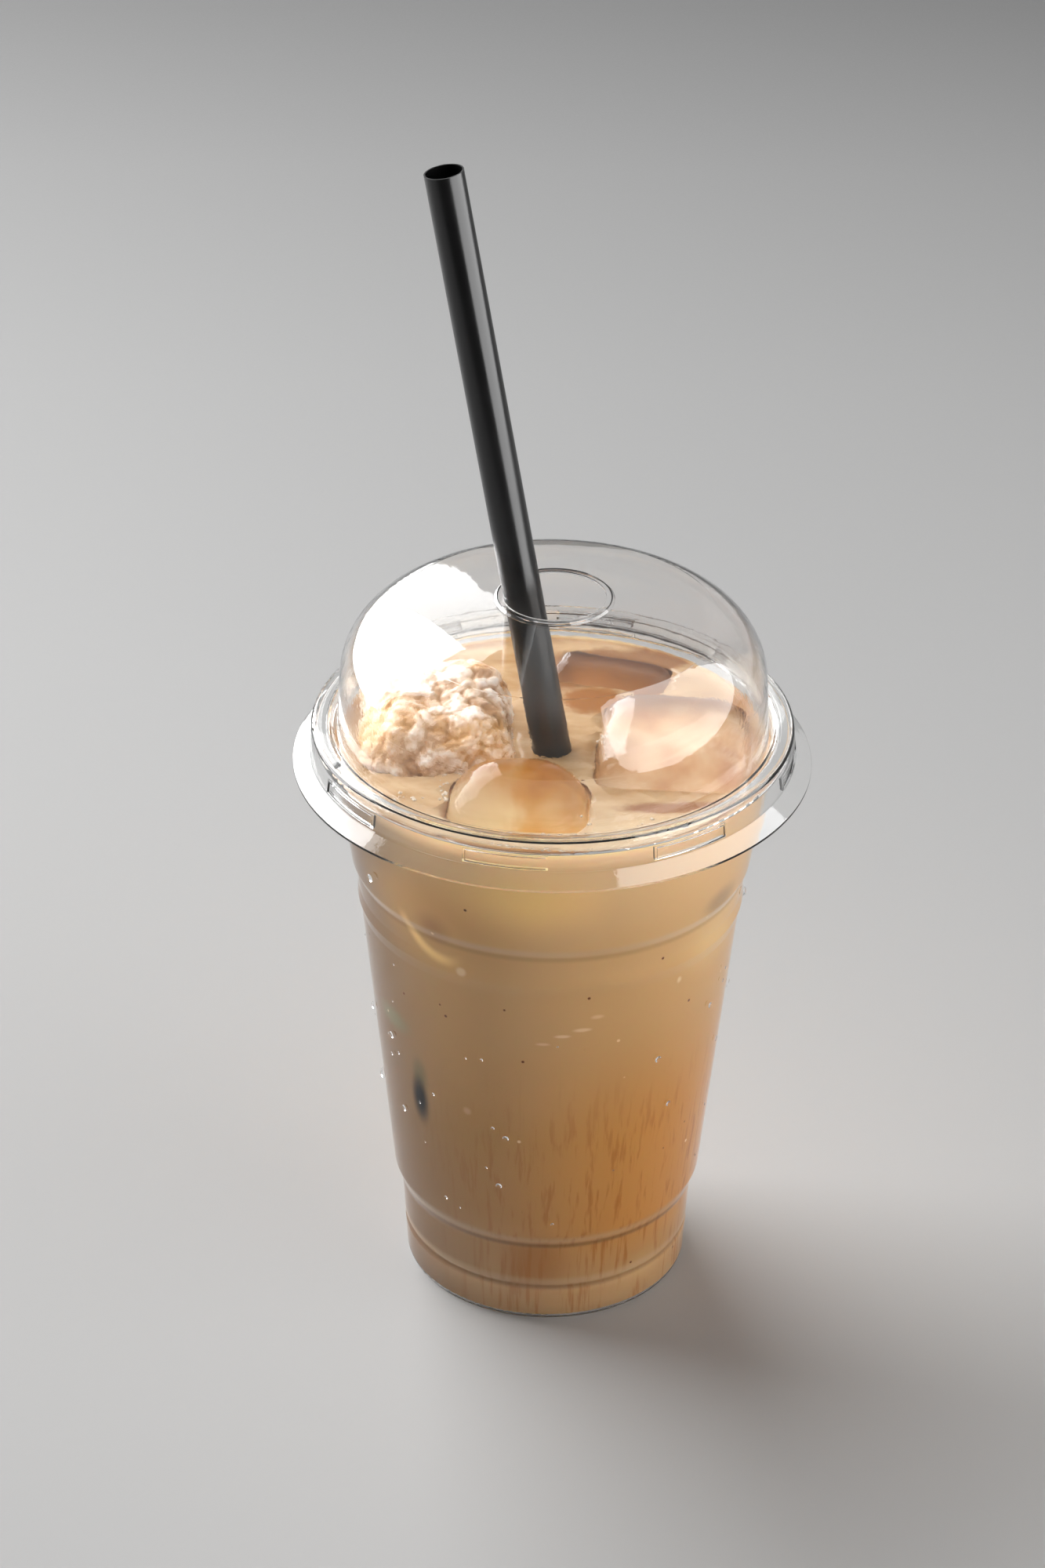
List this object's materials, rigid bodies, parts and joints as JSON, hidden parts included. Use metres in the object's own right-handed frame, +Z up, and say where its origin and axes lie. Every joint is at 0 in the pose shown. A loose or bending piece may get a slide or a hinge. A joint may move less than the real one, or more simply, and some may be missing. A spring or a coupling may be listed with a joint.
{
  "type": "iced latte in a lidded cup",
  "caption": "Iced latte with floating ice in a clear tapered plastic cup, under a clear press-fit dome lid, with a straight black straw through the lid's hole.",
  "frame": {"origin": "centre of the ring on which the cup stands, at table level", "axes": "+Z up along the cup's axis, +X to the right and +Y to the back as seen from the front"},
  "size_m": [0.1044, 0.1044, 0.2452],
  "materials": {
    "cup_plastic": "clear glossy plastic",
    "lid_plastic": "clear glossy plastic",
    "straw_plastic": "smooth black plastic",
    "milky_coffee": "milky coffee, wet and opaque",
    "ice": "melting ice, frosted in places, wetted with coffee"
  },
  "bodies": {
    "root": {"cup": "cup_plastic", "lid": "lid_plastic", "straw": "straw_plastic", "drink": "milky_coffee", "ice_left": "ice", "ice_front": "ice", "ice_right": "ice", "ice_back": "ice"}
  },
  "joints": []
}
